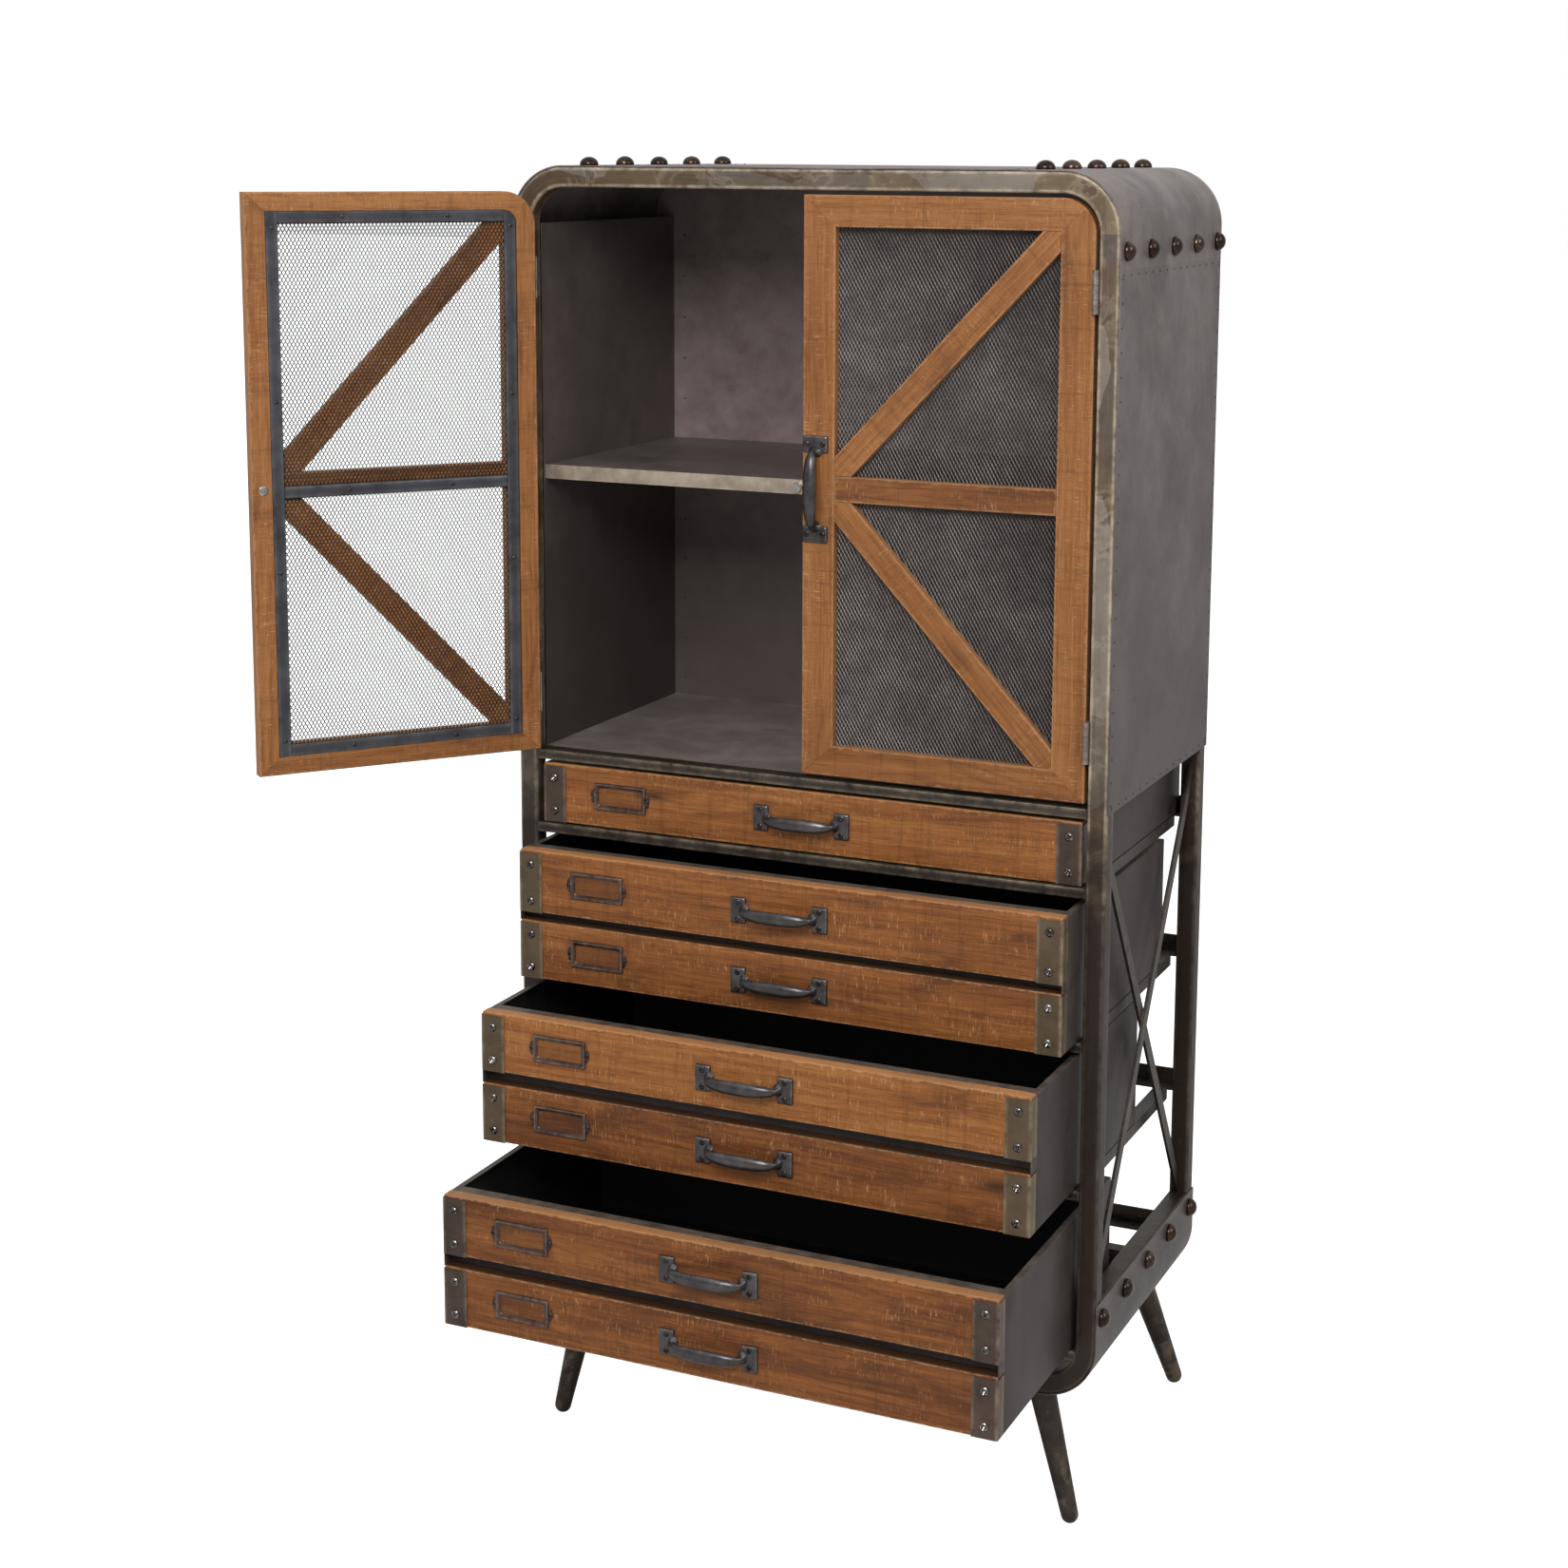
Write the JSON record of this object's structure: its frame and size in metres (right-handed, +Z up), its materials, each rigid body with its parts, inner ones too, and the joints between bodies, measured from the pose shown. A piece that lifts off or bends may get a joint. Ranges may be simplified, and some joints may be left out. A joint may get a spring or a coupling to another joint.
{
  "type": "industrial sideboard cabinet",
  "caption": "Tall narrow steel cabinet with timber-framed mesh doors over timber-fronted steel drawers, on splayed tapered legs.",
  "frame": {"origin": "on the floor, at the middle of the carcass's footprint", "axes": "+Z up, the doors and drawers face -Y, +X to the right for someone facing the doors"},
  "size_m": [0.8124, 0.5766, 1.3102],
  "materials": {
    "frame_steel": "patinated raw steel, clear lacquer",
    "skin_steel": "dark warm grey sheet, satin",
    "inner_steel": "dark satin sheet",
    "lip_steel": "dark satin sheet with brassy edge",
    "bar_steel": "patinated bar",
    "leg_steel": "dark brown patinated steel",
    "rivet_steel": "dark bronze",
    "plate_steel": "olive brown patinated plate",
    "label_copper": "copper brown",
    "screw_steel": "dark satin",
    "handle_iron": "dark blue-grey cast",
    "mesh_steel": "dark grey expanded mesh",
    "catch_steel": "plain steel",
    "door_wood": "warm orange-brown fir, waxed",
    "drawer_wood": "warm orange-brown fir, waxed"
  },
  "bodies": {
    "carcass": {"front_frame": "frame_steel", "back_frame": "frame_steel", "top_panel": "skin_steel", "left_top_corner_wrap": "skin_steel", "right_top_corner_wrap": "skin_steel", "left_side_panel": "skin_steel", "right_side_panel": "skin_steel", "left_bottom_corner_wrap": "skin_steel", "right_bottom_corner_wrap": "skin_steel", "back_panel": "inner_steel", "inner_side_walls": "inner_steel", "compartment_floor": "inner_steel", "shelf": "lip_steel", "front_crossbars": "bar_steel", "back_crossbars": "bar_steel", "drawer_runners": "bar_steel", "side_rails": "frame_steel", "cross_braces": "bar_steel", "legs": "leg_steel", "dome_rivets": "rivet_steel", "hinge_frame_leaves": "frame_steel", "magnetic_catches": "catch_steel"},
    "left_door": {"left_door_frame": "door_wood", "left_door_braces": "door_wood", "left_door_mesh": "mesh_steel", "left_door_mesh_retainer": "bar_steel", "left_door_handle": "handle_iron", "left_door_hinge_leaves": "frame_steel", "left_door_strike": "catch_steel"},
    "right_door": {"right_door_frame": "door_wood", "right_door_braces": "door_wood", "right_door_mesh": "mesh_steel", "right_door_mesh_retainer": "bar_steel", "right_door_handle": "handle_iron", "right_door_hinge_leaves": "frame_steel", "right_door_strike": "catch_steel"},
    "drawer_1": {"drawer_1_box": "inner_steel", "drawer_1_fronts": "drawer_wood", "drawer_1_corner_plates": "plate_steel", "drawer_1_handles": "handle_iron", "drawer_1_label_holders": "label_copper", "drawer_1_screws": "screw_steel"},
    "drawer_2": {"drawer_2_box": "inner_steel", "drawer_2_fronts": "drawer_wood", "drawer_2_corner_plates": "plate_steel", "drawer_2_handles": "handle_iron", "drawer_2_label_holders": "label_copper", "drawer_2_screws": "screw_steel"},
    "drawer_3": {"drawer_3_box": "inner_steel", "drawer_3_fronts": "drawer_wood", "drawer_3_corner_plates": "plate_steel", "drawer_3_handles": "handle_iron", "drawer_3_label_holders": "label_copper", "drawer_3_screws": "screw_steel"},
    "drawer_4": {"drawer_4_box": "inner_steel", "drawer_4_fronts": "drawer_wood", "drawer_4_corner_plates": "plate_steel", "drawer_4_handles": "handle_iron", "drawer_4_label_holders": "label_copper", "drawer_4_screws": "screw_steel"}
  },
  "joints": [
    {"name": "left_door_hinge", "type": "hinge", "parent": "carcass", "child": "left_door", "pos_m": [-0.29325, -0.1682, 0.9835], "axis": [0, 0, 1], "range_deg": [0, 129]},
    {"name": "right_door_hinge", "type": "hinge", "parent": "carcass", "child": "right_door", "pos_m": [0.29325, -0.1682, 0.9835], "axis": [0, 0, 1], "range_deg": [0, 129]},
    {"name": "drawer_1_slide", "type": "slide", "parent": "carcass", "child": "drawer_1", "axis": [0, -1, 0], "range_m": [0, 0.25]},
    {"name": "drawer_2_slide", "type": "slide", "parent": "carcass", "child": "drawer_2", "axis": [0, -1, 0], "range_m": [-0.051, 0.199]},
    {"name": "drawer_3_slide", "type": "slide", "parent": "carcass", "child": "drawer_3", "axis": [0, -1, 0], "range_m": [-0.129, 0.121]},
    {"name": "drawer_4_slide", "type": "slide", "parent": "carcass", "child": "drawer_4", "axis": [0, -1, 0], "range_m": [-0.206, 0.044]}
  ]
}
